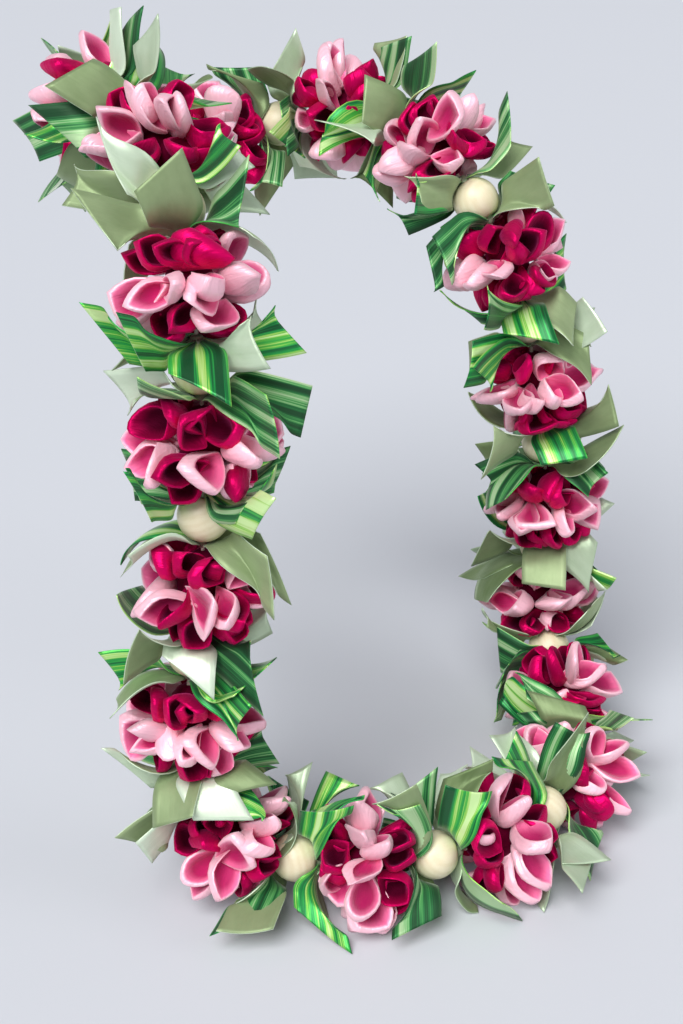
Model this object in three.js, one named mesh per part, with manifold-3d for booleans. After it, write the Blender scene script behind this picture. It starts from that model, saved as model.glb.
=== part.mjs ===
// A ribbon flower lei, draped in a closed loop as it hangs round a neck. Millimetres, +Z up.
// The origin is the middle of the neck that holds it up; the wearer faces -Y.
// Blooms of folded satin ribbon and wooden beads alternate on one cord, and each bead
// sits between two ruffs of ribbon leaves, which are gathered into one sleeve.

import * as THREE from 'three';
import { mergeVertices } from 'three/addons/utils/BufferGeometryUtils.js';
import Module from 'manifold-3d';

const wasm = await Module();
wasm.setup();

// --- driving dimensions, in millimetres -------------------------------------------------

const NECK_HEIGHT = 330;          // middle of the neck above the surface under the lowest bend
const SURFACE = -NECK_HEIGHT;     // the lowest bend lies on this level
const BODY_CENTRE = new THREE.Vector3(0, 0, -130);    // the blooms face away from it

// The cord's way through the middle of each bloom: x, y and height above the surface.
const ROUTE = [
  [-80, 20, 352], [-98, -45, 347], [-117, -87, 301], [-119, -94, 235], [-122, -92, 168],
  [-128, -87, 100], [-118, -102, 37], [-77, -150, 28], [-20, -182, 29], [45, -173, 30],
  [92, -128, 35], [118, -85, 72], [112, -92, 136], [105, -87, 202], [95, -72, 267],
  [83, -31, 316], [80, 32, 329], [27, 74, 311], [-40, 73, 324],
];

const CORD = { radius: 1, sides: 6, stepsPerUnit: 4 };
const BEAD = { radius: 11.5, boreRadius: 4.5, shoulderTurn: 0.6, sides: 8 };
const BLOOM = { reach: 33, halfLength: 22, coreRadius: 11, coreHalfLength: 13 };
const PETAL = { width: 22, depth: 12, rootRadius: 5.2, sides: 5 };
// A petal's cup before it is shaped: reach and height from its belly over the rim to the
// bottom of its hollow; then how wide the root stays, how far the tip lifts, and how far the
// belly is sunk under the petal's axis, as shares of width and depth.
const CUP = {
  profile: [[0, 0], [1, 0.6], [0.74, 1], [0, 0.42]],
  rootShare: 0.3, taperPower: 0.8, tipLift: 0.16, sunk: 0.62,
};
// How far petals differ: their place in the row, the lean out of the radius and the tilt along
// the cord in radians, how full they reach, the turn of the hollow, and their width.
const PETAL_DRAW = {
  place: 0.14, lean: [0.25, 0.62], tilt: 0.12, reach: [0.93, 1], opening: 0.5, width: [0.9, 1.08],
};
const LEAF = { width: 22, rootWidth: 3.4, thickness: 0.8, rootRadius: 3.1, shortest: 36, longest: 47 };
// How a leaf runs: places of its rows, where it is full width, its way out and its way on as
// shares of its length, and the slant of its cut. Then its twist in radians, how fast that is
// done along the leaf, and how fast it goes, after a start, in leaves that turn over.
const LEAF_RUN = {
  rows: [0, 0.36, 0.68, 1], fullWidth: 0.5, wayOut: 0.42, wayOn: 0.6, slant: 0.3,
  twist: 1.5, twistPace: 1.3, untwist: 1.3, keptTwist: 0.4,
};
// How far leaves differ: their place in the ruff, how they turn over along the cord, and sway.
const LEAF_DRAW = { place: 0.16, turnOver: [-0.25, 1.05], sway: [-0.1, 0.35] };
const SLEEVE = { radius: 3.7, halfLength: 13.4, leafPlace: 12.3 };
const CLEARANCE = { cord: 0.35, bead: 1.1, bloomReach: 3.3, bloomLength: 2.4, midPlane: 1.4, surface: 0.6 };
const RUFF = { reach: 14, thickness: 1.4, swirl: 0.4 };    // the gathered roots, and their turn

// Petal rows of a bloom: place along the cord, tilt away from the middle, how many, and how
// far the row is turned, in petals.
const PETAL_ROWS = [
  { along: -7, tilt: -0.55, count: 4, stagger: 0 },
  { along: 0, tilt: 0, count: 4, stagger: 0.5 },
  { along: 7, tilt: 0.55, count: 3, stagger: 0 },
];
const LEAVES_IN_RUFF = { '-1': 4, 1: 3 };    // before and after the bead
const HOLE_SIDES = 6;
const BENDING_PASSES = 8;         // enough for a leaf to settle between bead, blooms and surface
const SMALLEST_EDGE = 0.55;       // shorter edges are merged away
const TRIM_GROWTH = 1.015;        // how much a bloom is enlarged to trim the leaves off it

// --- materials --------------------------------------------------------------------------

const PETAL_RIBBON = new THREE.MeshStandardMaterial({ color: 0xc4104f, roughness: 0.45 });
const LEAF_RIBBON = new THREE.MeshStandardMaterial({ color: 0x4f9a4a, roughness: 0.5 });
const BEAD_WOOD = new THREE.MeshStandardMaterial({ color: 0xe6dcb4, roughness: 0.55 });
const CORD_FIBRE = new THREE.MeshStandardMaterial({ color: 0xe8e0d0, roughness: 0.8 });

// --- the loop ---------------------------------------------------------------------------

// A closed smooth curve through the route's points. Each point's tangent runs parallel to
// the line between its neighbours and is as long as the mean distance to them.
class LoopCurve extends THREE.Curve {
  constructor(points) {
    super();
    this.points = points;
    this.tangents = points.map((point, i) => {
      const before = points.at(i - 1);
      const after = points[(i + 1) % points.length];
      const reach = (point.distanceTo(before) + point.distanceTo(after)) / 2;
      return after.clone().sub(before).setLength(reach);
    });
  }

  getPoint(t, target = new THREE.Vector3()) {
    const count = this.points.length;
    const place = ((t % 1) + 1) % 1 * count;
    const i = Math.floor(place) % count;
    const j = (i + 1) % count;
    const w = place - Math.floor(place);
    const w2 = w * w;
    const w3 = w2 * w;
    target.copy(this.points[i]).multiplyScalar(2 * w3 - 3 * w2 + 1);
    target.addScaledVector(this.tangents[i], w3 - 2 * w2 + w);
    target.addScaledVector(this.points[j], 3 * w2 - 2 * w3);
    return target.addScaledVector(this.tangents[j], w3 - w2);
  }
}

const loop = new LoopCurve(ROUTE.map(([x, y, height]) => new THREE.Vector3(x, y, height + SURFACE)));
const UNITS = ROUTE.length;
const CORD_STEPS = UNITS * CORD.stepsPerUnit;
const STEPS_PER_UNIT = 100;
const distances = loop.getLengths(UNITS * STEPS_PER_UNIT);
const LOOP_LENGTH = distances.at(-1);

function pointAlong(distance) {
  const wrapped = ((distance % LOOP_LENGTH) + LOOP_LENGTH) % LOOP_LENGTH;
  let low = 0;
  let high = distances.length - 1;
  while (high - low > 1) {
    const middle = (low + high) >> 1;
    if (distances[middle] <= wrapped) low = middle;
    else high = middle;
  }
  const part = (wrapped - distances[low]) / (distances[high] - distances[low]);
  return loop.getPoint((low + part) / (distances.length - 1));
}

// The frame of a piece threaded on the cord: its axis is the chord over its own length, its
// middle lies halfway between chord and curve, and its first direction faces off the body.
function frameAt(distance, halfLength) {
  const before = pointAlong(distance - halfLength);
  const after = pointAlong(distance + halfLength);
  const chordMiddle = before.clone().lerp(after, 0.5);
  const origin = pointAlong(distance).lerp(chordMiddle, 0.5);
  const along = after.clone().sub(before).normalize();
  const out = origin.clone().sub(BODY_CENTRE);
  out.addScaledVector(along, -out.dot(along)).normalize();
  const side = along.clone().cross(out);
  const matrix = new THREE.Matrix4().makeBasis(out, side, along).setPosition(origin);
  return { origin, along, matrix, inverse: matrix.clone().invert() };
}

const blooms = ROUTE.map((_, k) => frameAt(distances[k * STEPS_PER_UNIT], BLOOM.coreHalfLength));
const gaps = ROUTE.map((_, k) => {
  const from = distances[k * STEPS_PER_UNIT];
  const to = distances[(k + 1) * STEPS_PER_UNIT];
  const frame = frameAt((from + to) / 2, SLEEVE.halfLength);
  return { ...frame, neighbours: [[blooms[k], 1], [blooms[(k + 1) % UNITS], -1]] };
});

// --- helpers ----------------------------------------------------------------------------

// The same seed always gives the same number from 0 to 1.
function draw(seed) {
  const value = Math.sin(seed * 12.9898 + 4.1414) * 43758.5453;
  return value - Math.floor(value);
}

function drawBetween(seed, low, high) {
  return low + (high - low) * draw(seed);
}

function smoothStep(value) {
  const w = Math.min(Math.max(value, 0), 1);
  return w * w * (3 - 2 * w);
}

function toSolid(geometry) {
  const bare = geometry.clone();
  bare.deleteAttribute('normal');
  bare.deleteAttribute('uv');
  const merged = mergeVertices(bare, 1e-4);
  return new wasm.Manifold(new wasm.Mesh({
    numProp: 3,
    vertProperties: new Float32Array(merged.attributes.position.array),
    triVerts: new Uint32Array(merged.index.array),
  }));
}

function toMesh(solid, name, material) {
  const { vertProperties, triVerts } = solid.getMesh();
  const geometry = new THREE.BufferGeometry();
  geometry.setAttribute('position', new THREE.BufferAttribute(vertProperties, 3));
  geometry.setIndex(new THREE.BufferAttribute(triVerts, 1));
  const mesh = new THREE.Mesh(geometry, material);
  mesh.name = name;
  return mesh;
}

function movePoints(geometry, move) {
  const places = geometry.attributes.position;
  const point = new THREE.Vector3();
  for (let i = 0; i < places.count; i++) {
    point.fromBufferAttribute(places, i);
    move(point);
    places.setXYZ(i, point.x, point.y, point.z);
  }
  return geometry;
}

function fuse(solids) {
  return solids.reduce((whole, solid) => whole.add(solid));
}

// Merges away the slivers and the shortest edges that joining and cutting leave.
function withoutSlivers(solid) {
  return solid.asOriginal().simplify(SMALLEST_EDGE);
}

// A rod along a piece's own axis: a sleeve, or a hole that the cord runs through.
function rod(radius, length, frame) {
  const geometry = new THREE.CylinderGeometry(radius, radius, length, HOLE_SIDES).rotateX(Math.PI / 2);
  return toSolid(geometry.applyMatrix4(frame.matrix));
}

// The hole that lets the bent cord through a straight piece with a small gap.
function cordHole(frame, halfLength) {
  let farthest = 0;
  for (let i = 0; i < CORD_STEPS; i++) {
    const step = new THREE.Line3(loop.getPointAt(i / CORD_STEPS), loop.getPointAt((i + 1) / CORD_STEPS));
    for (let part = 0; part < 1; part += 0.1) {
      const local = step.at(part, new THREE.Vector3()).applyMatrix4(frame.inverse);
      const offAxis = Math.hypot(local.x, local.y);
      if (Math.abs(local.z) < halfLength && offAxis < BEAD.radius) farthest = Math.max(farthest, offAxis);
    }
  }
  const radius = (farthest + CORD.radius + CLEARANCE.cord) / Math.cos(Math.PI / HOLE_SIDES);
  return rod(radius, 4 * halfLength, frame);
}

// --- cord and beads ---------------------------------------------------------------------

function makeCord() {
  const geometry = new THREE.TubeGeometry(loop, CORD_STEPS, CORD.radius, CORD.sides, true);
  return toMesh(toSolid(geometry), 'cord', CORD_FIBRE);
}

function makeBead(gap, name) {
  const end = Math.sqrt(BEAD.radius ** 2 - BEAD.boreRadius ** 2);
  const profile = [new THREE.Vector2(BEAD.boreRadius, -end)];
  for (const turn of [-BEAD.shoulderTurn, 0, BEAD.shoulderTurn]) {
    profile.push(new THREE.Vector2(Math.cos(turn), Math.sin(turn)).multiplyScalar(BEAD.radius));
  }
  profile.push(new THREE.Vector2(BEAD.boreRadius, end), profile[0].clone());
  const geometry = new THREE.LatheGeometry(profile, BEAD.sides).rotateX(Math.PI / 2);
  geometry.applyMatrix4(gap.matrix);
  return toMesh(toSolid(geometry), name, BEAD_WOOD);
}

// --- blooms -----------------------------------------------------------------------------

// One petal: ribbon folded into a soft cup. It grows along X from a narrow root to a round
// tip, and its hollow opens along Z between two thick rims.
function petalCup(length, width, depth) {
  const points = CUP.profile.map(([reach, height]) => new THREE.Vector2(reach, height));
  const cup = new THREE.LatheGeometry(points, PETAL.sides);
  cup.rotateX(Math.PI / 2).rotateZ(Math.PI / PETAL.sides);
  return movePoints(cup, (point) => {
    const lengthwise = (point.x + 1) / 2;
    const taper = CUP.rootShare + (1 - CUP.rootShare) * Math.pow(lengthwise, CUP.taperPower);
    const height = point.z - CUP.sunk + CUP.tipLift * lengthwise * lengthwise;
    point.set(length * lengthwise, (width / 2) * point.y * taper, depth * height);
  });
}

// How far a ray from start runs before it leaves the bloom's outline.
function reachInBloom(start, direction) {
  const squash = (v) => new THREE.Vector3(v.x / BLOOM.reach, v.y / BLOOM.reach, v.z / BLOOM.halfLength);
  const from = squash(start);
  const step = squash(direction);
  const a = step.lengthSq();
  const b = from.dot(step);
  return (-b + Math.sqrt(b * b - a * (from.lengthSq() - 1))) / a;
}

function keepInBloom(point) {
  const across = Math.hypot(point.x, point.y) / BLOOM.reach;
  const level = Math.hypot(across, point.z / BLOOM.halfLength);
  if (level > 1) point.divideScalar(level);
}

function makePetal(row, index, seed) {
  const place = index + row.stagger + drawBetween(seed, -PETAL_DRAW.place, PETAL_DRAW.place);
  const turn = (2 * Math.PI * place) / row.count;
  const radial = new THREE.Vector3(Math.cos(turn), Math.sin(turn), 0);
  const around = new THREE.Vector3(-Math.sin(turn), Math.cos(turn), 0);
  const cordwise = new THREE.Vector3(0, 0, 1);
  const lean = drawBetween(seed + 1, ...PETAL_DRAW.lean) * (draw(seed + 2) < 0.5 ? -1 : 1);
  const tilt = row.tilt + drawBetween(seed + 3, -PETAL_DRAW.tilt, PETAL_DRAW.tilt);
  const axis = radial.clone().multiplyScalar(Math.cos(lean) * Math.cos(tilt));
  axis.addScaledVector(around, Math.sin(lean)).addScaledVector(cordwise, Math.sin(tilt)).normalize();
  const root = radial.clone().multiplyScalar(PETAL.rootRadius).addScaledVector(cordwise, row.along);
  const length = reachInBloom(root, axis) * drawBetween(seed + 4, ...PETAL_DRAW.reach);
  const skew = drawBetween(seed + 5, -PETAL_DRAW.opening, PETAL_DRAW.opening);
  const opening = radial.clone().addScaledVector(around, skew);
  opening.addScaledVector(axis, -opening.dot(axis)).normalize();
  const cup = petalCup(length, PETAL.width * drawBetween(seed + 6, ...PETAL_DRAW.width), PETAL.depth);
  const width = opening.clone().cross(axis);
  cup.applyMatrix4(new THREE.Matrix4().makeBasis(axis, width, opening).setPosition(root));
  return movePoints(cup, keepInBloom);
}

// Bends a petal's point clear of the leaves' roots on both sides and of the surface.
function settlePetal(point, unit) {
  const ruffEnd = SLEEVE.leafPlace + RUFF.thickness;
  for (const [gap, side] of [[gaps.at(unit - 1), 1], [gaps[unit], -1]]) {
    const local = point.clone().applyMatrix4(gap.inverse);
    if (Math.hypot(local.x, local.y) < RUFF.reach && side * local.z < ruffEnd) {
      local.z = side * ruffEnd;
      point.copy(local.applyMatrix4(gap.matrix));
    }
  }
  point.z = Math.max(point.z, SURFACE);
}

function makeBloom(bloom, unit) {
  const core = new THREE.SphereGeometry(1, 6, 3).rotateX(Math.PI / 2);
  core.scale(BLOOM.coreRadius, BLOOM.coreRadius, BLOOM.coreHalfLength);
  const pieces = [core];
  PETAL_ROWS.forEach((row, r) => {
    for (let i = 0; i < row.count; i++) pieces.push(makePetal(row, i, unit * 1000 + r * 100 + i * 10));
  });
  const solids = pieces.map((piece) => {
    return toSolid(movePoints(piece.applyMatrix4(bloom.matrix), (point) => settlePetal(point, unit)));
  });
  return fuse(solids).subtract(cordHole(bloom, BLOOM.coreHalfLength));
}

// --- ribbon leaves ----------------------------------------------------------------------

// Bends a leaf's point clear of the bead, of the blooms on both sides, of the leaves past
// those blooms' middles, and of the surface.
function bendClear(point, gap) {
  const beadReach = BEAD.radius + CLEARANCE.bead;
  for (let pass = 0; pass < BENDING_PASSES; pass++) {
    const fromBead = point.clone().sub(gap.origin);
    if (fromBead.length() < beadReach) point.copy(gap.origin).add(fromBead.setLength(beadReach));
    for (const [bloom, side] of gap.neighbours) {
      const local = point.clone().applyMatrix4(bloom.inverse);
      local.z = side * Math.max(side * local.z, CLEARANCE.midPlane);
      const across = Math.hypot(local.x, local.y) / (BLOOM.reach + CLEARANCE.bloomReach);
      const level = Math.hypot(across, local.z / (BLOOM.halfLength + CLEARANCE.bloomLength));
      if (level < 1) local.divideScalar(level);
      point.copy(local.applyMatrix4(bloom.matrix));
    }
    point.z = Math.max(point.z, SURFACE + CLEARANCE.surface);
  }
}

// A thin blade from rows of two middle-surface points, split alike on both faces.
function bladeFromRows(rows, thickness) {
  const places = [];
  for (const face of [0.5, -0.5]) {
    rows.forEach(([left, right], i) => {
      const [nextLeft, nextRight] = rows[Math.min(i + 1, rows.length - 1)];
      const [lastLeft, lastRight] = rows[Math.max(i - 1, 0)];
      const lengthwise = nextLeft.clone().add(nextRight).sub(lastLeft).sub(lastRight);
      const normal = right.clone().sub(left).cross(lengthwise).setLength(face * thickness);
      places.push(...left.clone().add(normal).toArray(), ...right.clone().add(normal).toArray());
    });
  }
  const back = 2 * rows.length;
  const last = back - 2;
  const faces = [];
  const addQuad = (a, b, c, d) => faces.push(a, b, c, a, c, d);
  for (let i = 0; i < last; i += 2) {
    faces.push(i, i + 1, i + 3, i, i + 3, i + 2);
    faces.push(back + i, back + i + 3, back + i + 1, back + i, back + i + 2, back + i + 3);
    addQuad(i + 1, back + i + 1, back + i + 3, i + 3);
    addQuad(i, i + 2, back + i + 2, back + i);
  }
  addQuad(0, back, back + 1, 1);
  addQuad(last, last + 1, back + last + 1, back + last);
  const geometry = new THREE.BufferGeometry();
  geometry.setAttribute('position', new THREE.Float32BufferAttribute(places, 3));
  return geometry.setIndex(faces);
}

// One leaf: a strip of ribbon that comes out of the ruff, turns over a bloom or over the
// bead, twists, and ends in a slanted cut.
function makeLeaf(gap, end, index, seed) {
  const place = index + drawBetween(seed, -LEAF_DRAW.place, LEAF_DRAW.place);
  const turn = (2 * Math.PI * place) / LEAVES_IN_RUFF[end] - end * RUFF.swirl;
  const radial = new THREE.Vector3(Math.cos(turn), Math.sin(turn), 0);
  const around = new THREE.Vector3(-Math.sin(turn), Math.cos(turn), 0);
  const cordwise = new THREE.Vector3(0, 0, end);
  const length = drawBetween(seed + 1, LEAF.shortest, LEAF.longest);
  const turnOver = drawBetween(seed + 2, ...LEAF_DRAW.turnOver);
  const untwisted = smoothStep(LEAF_RUN.untwist * Math.abs(turnOver) - LEAF_RUN.keptTwist);
  const twist = end * LEAF_RUN.twist * (1 - untwisted);
  const sway = end * drawBetween(seed + 3, ...LEAF_DRAW.sway);
  const root = radial.clone().multiplyScalar(LEAF.rootRadius).addScaledVector(cordwise, SLEEVE.leafPlace);
  const heading = radial.clone().multiplyScalar(Math.cos(turnOver));
  heading.addScaledVector(cordwise, Math.sin(turnOver)).addScaledVector(around, sway).normalize();
  const bend = root.clone().addScaledVector(radial, length * LEAF_RUN.wayOut);
  const tip = bend.clone().addScaledVector(heading, length * LEAF_RUN.wayOn);
  const curve = new THREE.QuadraticBezierCurve3(root, bend, tip);
  const cutSlant = LEAF_RUN.slant * (draw(seed + 4) < 0.5 ? -1 : 1);
  const rows = LEAF_RUN.rows.map((reach) => {
    const turned = twist * smoothStep(reach * LEAF_RUN.twistPace);
    const across = around.clone().multiplyScalar(Math.cos(turned));
    across.addScaledVector(cordwise, Math.sin(turned));
    const spread = smoothStep(reach / LEAF_RUN.fullWidth);
    const halfWidth = (LEAF.rootWidth + (LEAF.width - LEAF.rootWidth) * spread) / 2;
    return [-1, 1].map((edge) => {
      const reached = reach * (1 - Math.max(edge * cutSlant, 0) * reach);
      const point = curve.getPoint(reached).addScaledVector(across, edge * halfWidth);
      point.applyMatrix4(gap.matrix);
      if (reach > 0) bendClear(point, gap);
      return point;
    });
  });
  return bladeFromRows(rows, LEAF.thickness);
}

// Both ruffs of one bead, with the gathered ribbon that joins them through its hole.
function makeLeaves(gap, unit) {
  const solids = [rod(SLEEVE.radius, 2 * SLEEVE.halfLength, gap)];
  for (const end of [-1, 1]) {
    for (let i = 0; i < LEAVES_IN_RUFF[end]; i++) {
      const seed = unit * 1000 + (end > 0 ? 500 : 0) + i * 10 + 7;
      solids.push(toSolid(makeLeaf(gap, end, i, seed)));
    }
  }
  return fuse(solids).subtract(cordHole(gap, SLEEVE.halfLength + RUFF.thickness));
}

// Trims what still touches a bloom, with a small gap, and drops the loose scraps.
function trimOffBloom(leaves, solid, bloom) {
  const grow = new THREE.Matrix4().makeScale(TRIM_GROWTH, TRIM_GROWTH, TRIM_GROWTH);
  const aboutMiddle = bloom.matrix.clone().multiply(grow).multiply(bloom.inverse);
  const trimmed = leaves.subtract(solid).subtract(solid.transform(aboutMiddle.elements));
  return trimmed.decompose().reduce((most, scrap) => (scrap.volume() > most.volume() ? scrap : most));
}

// --- the lei ----------------------------------------------------------------------------

const bloomSolids = blooms.map((bloom, unit) => makeBloom(bloom, unit));

const lei = new THREE.Group();
lei.add(makeCord());
for (let unit = 0; unit < UNITS; unit++) {
  const number = String(unit + 1).padStart(2, '0');
  const next = (unit + 1) % UNITS;
  let leaves = makeLeaves(gaps[unit], unit);
  leaves = trimOffBloom(leaves, bloomSolids[unit], blooms[unit]);
  leaves = trimOffBloom(leaves, bloomSolids[next], blooms[next]);
  lei.add(toMesh(withoutSlivers(bloomSolids[unit]), `bloom_${number}`, PETAL_RIBBON));
  lei.add(makeBead(gaps[unit], `bead_${number}`));
  lei.add(toMesh(withoutSlivers(leaves), `leaves_${number}`, LEAF_RIBBON));
}

export default lei;
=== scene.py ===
"""A ribbon flower lei: folded satin petals, ruffs of ribbon leaves, turned beads and a cord.

Everything is in metres, +Z up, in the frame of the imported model.
"""

import math

import bmesh
import bpy
from mathutils import Matrix, Quaternion, Vector


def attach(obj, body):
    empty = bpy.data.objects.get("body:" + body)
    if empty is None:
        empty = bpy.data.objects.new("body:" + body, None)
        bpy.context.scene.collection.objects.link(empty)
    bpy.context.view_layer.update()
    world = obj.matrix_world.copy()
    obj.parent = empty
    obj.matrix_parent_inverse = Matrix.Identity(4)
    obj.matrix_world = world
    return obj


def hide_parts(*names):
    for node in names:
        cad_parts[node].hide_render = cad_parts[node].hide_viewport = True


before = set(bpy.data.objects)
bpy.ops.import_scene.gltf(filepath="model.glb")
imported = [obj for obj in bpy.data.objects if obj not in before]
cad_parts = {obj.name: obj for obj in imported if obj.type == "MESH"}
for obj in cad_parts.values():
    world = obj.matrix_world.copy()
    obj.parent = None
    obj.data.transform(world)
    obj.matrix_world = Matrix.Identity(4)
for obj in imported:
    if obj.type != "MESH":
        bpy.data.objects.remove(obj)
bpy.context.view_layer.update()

# --- driving dimensions, in metres --------------------------------------------------------

NECK_HEIGHT = 0.330           # middle of the neck above the surface under the lowest bend
SURFACE = -NECK_HEIGHT
BODY_CENTRE = Vector((0, 0, -0.130))    # the blooms face away from it

# The cord's way through the middle of each bloom: x, y and height above the surface.
ROUTE = (
    (-0.080, 0.020, 0.352), (-0.098, -0.045, 0.347), (-0.117, -0.087, 0.301),
    (-0.119, -0.094, 0.235), (-0.122, -0.092, 0.168), (-0.128, -0.087, 0.100),
    (-0.118, -0.102, 0.037), (-0.077, -0.150, 0.028), (-0.020, -0.182, 0.029),
    (0.045, -0.173, 0.030), (0.092, -0.128, 0.035), (0.118, -0.085, 0.072),
    (0.112, -0.092, 0.136), (0.105, -0.087, 0.202), (0.095, -0.072, 0.267),
    (0.083, -0.031, 0.316), (0.080, 0.032, 0.329), (0.027, 0.074, 0.311),
    (-0.040, 0.073, 0.324),
)

BLOOM_REACH = 0.033
BLOOM_HALF_LENGTH = 0.022
PETAL_TIPS_REACH = 0.036      # a few petals stand out past the bloom's round outline
PETAL_TIPS_HALF_LENGTH = 0.026
CORE_RADIUS = 0.011
CORE_HALF_LENGTH = 0.013
GATHERED_HALF_LENGTH = 0.0185    # the core tapers on to this over the cord
# Petal rows of a bloom: place along the cord, tilt away from the middle in radians, petals that
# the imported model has, how far the row is turned, in petals, and whether most of it is pink.
PETAL_ROWS = (
    {"along": -0.007, "tilt": -0.55, "count": 4, "stagger": 0.0, "pink": False},
    {"along": 0.0, "tilt": 0.0, "count": 4, "stagger": 0.5, "pink": True},
    {"along": 0.007, "tilt": 0.55, "count": 3, "stagger": 0.0, "pink": False},
)
STRAY_PETALS = 0.16           # share of petals in the other colour than their row's
PETALS_PER_PLACE = 3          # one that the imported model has, and two added ones
PETAL_WIDTH = 0.029
PETAL_DEPTH = 0.0118
PETAL_LONGEST = 0.031
# How far petals differ: their place in the row, the lean out of the radius and the tilt along
# the cord in radians, how much of their reach they fill, the turn of the hollow, their width,
# and how far round those are turned whose back shows.
PETAL_DRAW = {
    "place": (-0.14, 0.14), "lean": (0.25, 0.62), "tilt": (-0.12, 0.12), "reach": (0.84, 1.06),
    "opening": (-0.5, 0.5), "width": (0.9, 1.08), "back": (1.6, 4.6),
}
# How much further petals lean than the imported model's, and how far out they are rooted.
FIRST_PETALS = {"flatter": (1.3, 1.9), "root": (0.005, 0.010)}
ADDED_PETALS = {"flatter": (1.8, 2.6), "root": (0.008, 0.015)}
TILT_FLATTER = 0.8            # how much of that goes for their tilt along the cord
PETALS_SHOW = 0.75            # how far the hollows turn to the front of the lei and up
SHOW_UPWARDS = 0.8            # the upward part of that, against the outward part
SHARE_OF_BACKS = 0.04         # share of the added petals that turn their back outwards
PETAL_TRIES = 9               # draws for each petal, of which the one with the most room is kept
PETAL_MIDDLE = 0.6            # share of a petal's length where that room is measured
CLASH_COST = 0.0025           # room that a point of one petal in another's hollow takes off

# The cup's section from the middle of its belly over the rim to the bottom of its hollow:
# reach, height, and how far inside the hollow the point lies.
# The third column is the mask for the painted glow and painted shade inside the hollow.
CUP_SECTION = (
    (0.0, 0.0, 0.0), (0.66, 0.06, 0.0), (0.98, 0.38, 0.0), (1.0, 0.80, 0.0),
    (0.89, 1.0, 0.0), (0.72, 0.90, 0.45), (0.50, 0.50, 0.9), (0.0, 0.32, 1.0),
)
CUP_SIDES = 10
CUP_SUNK = 0.62               # share of the depth that lies under the petal's axis
CUP_TIP_LIFT = 0.16
CUP_ROOT_SHARE = 0.3          # width at the root, as a share of the whole width
CUP_TAPER_POWER = 0.8
RIM_FROM = 0.3                # height in the cup from which its rim is shaped, and over how much
RIM_OVER = 0.6
# Ways of folding a petal: which of its sides are creased, counted from the tip, how much it
# narrows there, and the share of petals that are folded so.
FOLDS = (
    {"sides": (0,), "narrowing": (0.55, 0.9), "share": 0.6},
    {"sides": (-1, 1), "narrowing": (-0.2, 0.2), "share": 0.25},
    {"sides": (), "narrowing": (0.2, 0.5), "share": 0.15},
)
FOLD_SHARPNESS = 0.8
FOLD_STANDS_OUT = 1.1
# How far cups differ: the share of the length where the rolled sides have come apart, the same
# in a tube, how far they are rolled, the sway of the tip and of the rim, how much lower the rim
# is at the tip, how sharp the belly is, and how the rim tips over.
CUP_DRAW = {
    "opens": (0.4, 0.8), "tube_opens": (0.9, 1.5), "rolled": (0.55, 0.9), "tip_sway": (-0.22, 0.22),
    "rim_sway": (-0.16, 0.16), "lowered": (0.2, 0.6), "keel": (0.0, 0.3), "tipped": (-0.25, 0.25),
}
SHARE_OF_TUBES = 0.2
CREASE_HEIGHT = 0.0005
CREASE_WAVES = Vector((4, 7, 5))    # of the fine creases, along, across and up the cup

HOLLOW_HALF_WIDTH = 0.7       # of the cup's half width
HOLLOW_STATIONS = 12          # places along a hollow where its floor is measured
TUCK_REACH = 0.4              # share of the depth up to which a part in a hollow goes under it
TUCK_UNDER = 0.14             # and how far under

LEAF_WIDTH = 0.024
LEAF_ROOT_WIDTH = 0.006
LEAF_ROOT_RADIUS = 0.0031
LEAF_THICKNESS = 0.0005
LEAF_SHORTEST = 0.034
LEAF_LONGEST = 0.045
LEAF_FULL_WIDTH = 0.38        # share of the length where a leaf has its whole width
LEAF_WAY_OUT = 0.42           # share of the length that goes straight out of the ruff
LEAF_WAY_ON = 0.6
LEAF_TWIST = 1.5              # radians, done at the pace below, less in leaves that turn over
LEAF_TWIST_PACE = 2.2
LEAF_UNTWIST = 1.3
LEAF_KEPT_TWIST = 0.4
LEAF_CLEARS_PETALS = 0.35     # share of its length past which a leaf keeps off the petals' tips
LEAF_WAVE = 0.0009            # height of the waves along a leaf's edges
LEAF_WAVES = 7
LEAF_PLEAT = 0.0010           # height of the pleats at its root
LEAF_PLEATS_END = 0.4
LEAF_PLEATS_START = 1 / 12
LEAF_STEPS_ACROSS = 4
LEAF_STEPS_ALONG = 10
# How far leaves differ: their place in the ruff; in radians how far they turn over along the
# cord, also the added ones, those over a bead and those that are turned aside; their sway, the
# slant of their cut, how hollow they are across and curled along, and where their waves start.
LEAF_DRAW = {
    "place": (-0.16, 0.16), "over": (-0.25, 1.05), "added_over": (-0.9, 0.7),
    "bead_over": (-1.1, -0.7), "aside_over": (0.0, 0.7), "sway": (-0.1, 0.35),
    "slant": (0.12, 0.46), "cup": (-0.06, 0.12), "curl": (-0.06, 0.06), "wave": (0.0, 6.3),
}
LEAVES_IN_RUFF = {-1: 4, 1: 3}    # of the frame, before and after the bead
LEAVES_PER_PLACE = 2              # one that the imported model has, and an added one
RUFF_SWIRL = 0.4                  # turn of a ruff's first leaf
SHARE_STRIPED = 0.5
SHARE_FLIPPED = 0.45          # leaves that show the ribbon's back
SEEN_FROM = Vector((-0.62, -0.66, 0.43))    # the side that the lei is arranged for
BEADS_IN_VIEW = {4, 7, 8, 9, 11, 15}     # no leaf lies over these beads there
FRONT_HALF_ANGLE = 0.65       # leaves this near to that side lie over their bead
PARTED_ANGLE = 0.85           # and they turn aside this far from a bead that is in view
PARTED_SHARE = 0.8            # how much of their own turn from that side they lose

SLEEVE_RADIUS = 0.0037
SLEEVE_HALF_LENGTH = 0.0134
SLEEVE_LEAF_PLACE = 0.0123
SLEEVE_SIDES = 16
SLEEVE_PLEATS = 8
SLEEVE_PLEAT_DEPTH = 0.10     # of its radius
RUFF_REACH = 0.014
RUFF_THICKNESS = 0.0014

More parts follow.
